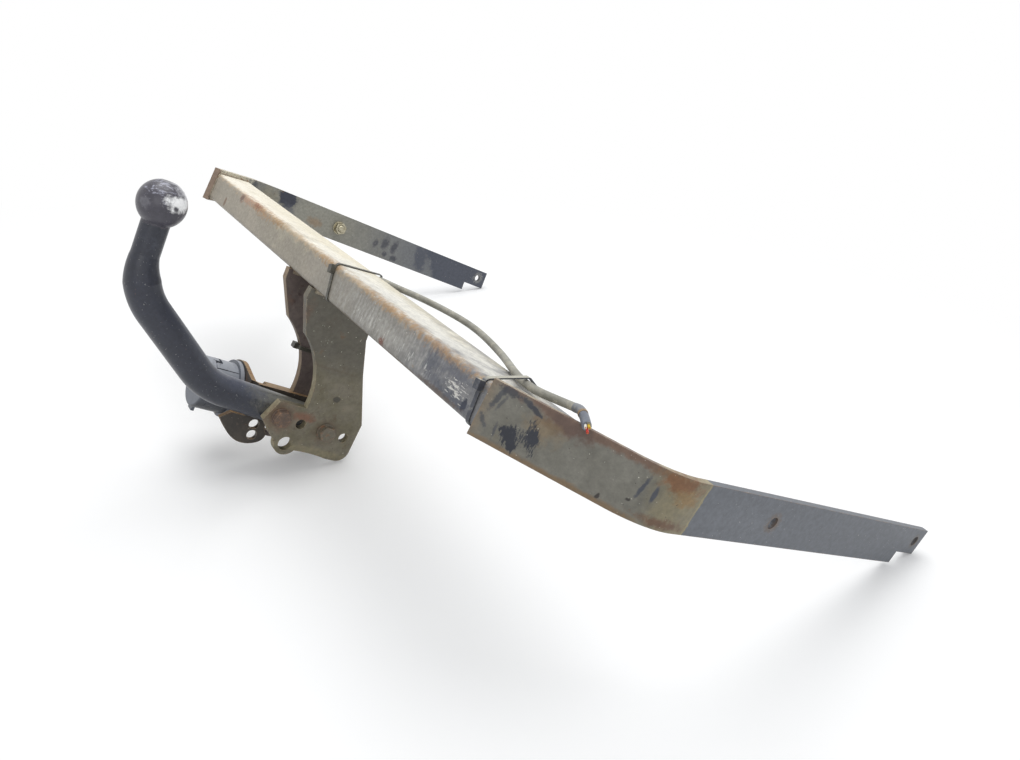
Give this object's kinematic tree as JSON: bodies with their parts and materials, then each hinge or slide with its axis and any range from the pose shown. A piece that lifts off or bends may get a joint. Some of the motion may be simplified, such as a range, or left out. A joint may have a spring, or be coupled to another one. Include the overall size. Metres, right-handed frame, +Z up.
{
  "type": "towbar",
  "caption": "Fixed towbar: rectangular cross beam with folded chassis arms, bolted swan neck with ball, side plates and a trailer socket with its lead.",
  "frame": {"origin": "the floor under the centre of the towbar's box, as it lies on its arms' teeth and side plates' toes", "axes": "+X to the vehicle's front along the floor, +Y to the vehicle's left along the cross beam, +Z up"},
  "size_m": [0.7744, 1.0496, 0.3687],
  "materials": {
    "beam_steel": "weathered",
    "arm_steel": "weathered",
    "plate_steel": "weathered",
    "weld_metal": "weathered",
    "neck_steel": "satin",
    "socket_plate_steel": "matte",
    "rusty_fasteners": "rusted",
    "zinc_fasteners": "dull",
    "small_zinc": "dull",
    "socket_plastic": "weathered",
    "insert_plastic": "matte",
    "contact_brass": "dull",
    "black_rubber": "matte",
    "sleeve_plastic": "matte",
    "core_plastic": "gloss",
    "cable_sheath": "weathered",
    "tie_nylon": "matte"
  },
  "bodies": {
    "frame": {"cross_beam": "beam_steel", "right_arm": "arm_steel", "left_arm": "arm_steel", "right_arm_weld": "weld_metal", "left_arm_weld": "weld_metal", "right_side_plate": "plate_steel", "left_side_plate": "plate_steel", "right_plate_weld": "weld_metal", "left_plate_weld": "weld_metal", "swan_neck": "neck_steel", "neck_bolts": "rusty_fasteners", "neck_bolt_washers": "rusty_fasteners", "neck_bolt_nuts": "rusty_fasteners", "arm_bolt": "zinc_fasteners", "arm_bolt_washer": "zinc_fasteners", "arm_bolt_nut": "zinc_fasteners", "socket_plate": "socket_plate_steel", "flange_gasket": "black_rubber", "socket_housing": "socket_plastic", "contact_insert": "insert_plastic", "socket_contacts": "contact_brass", "cable_boot": "black_rubber", "socket_screws": "small_zinc", "socket_nuts": "small_zinc", "lid_hinge_pin": "small_zinc", "lid_spring": "small_zinc", "beam_tie_middle": "tie_nylon", "beam_tie_right": "tie_nylon", "side_plate_tie": "tie_nylon", "socket_cable": "cable_sheath", "cable_sleeve": "sleeve_plastic", "cable_cores": "core_plastic"},
    "lid": {"socket_lid": "socket_plastic", "lid_seal": "black_rubber"}
  },
  "joints": [
    {"name": "lid_hinge", "type": "hinge", "parent": "frame", "child": "lid", "pos_m": [-0.28244, 0.06674, 0.12544], "axis": [0, 1, 0], "range_deg": [0, 100], "stiffness_Nm_per_rad": 0.05, "springref_deg": -34.38}
  ]
}
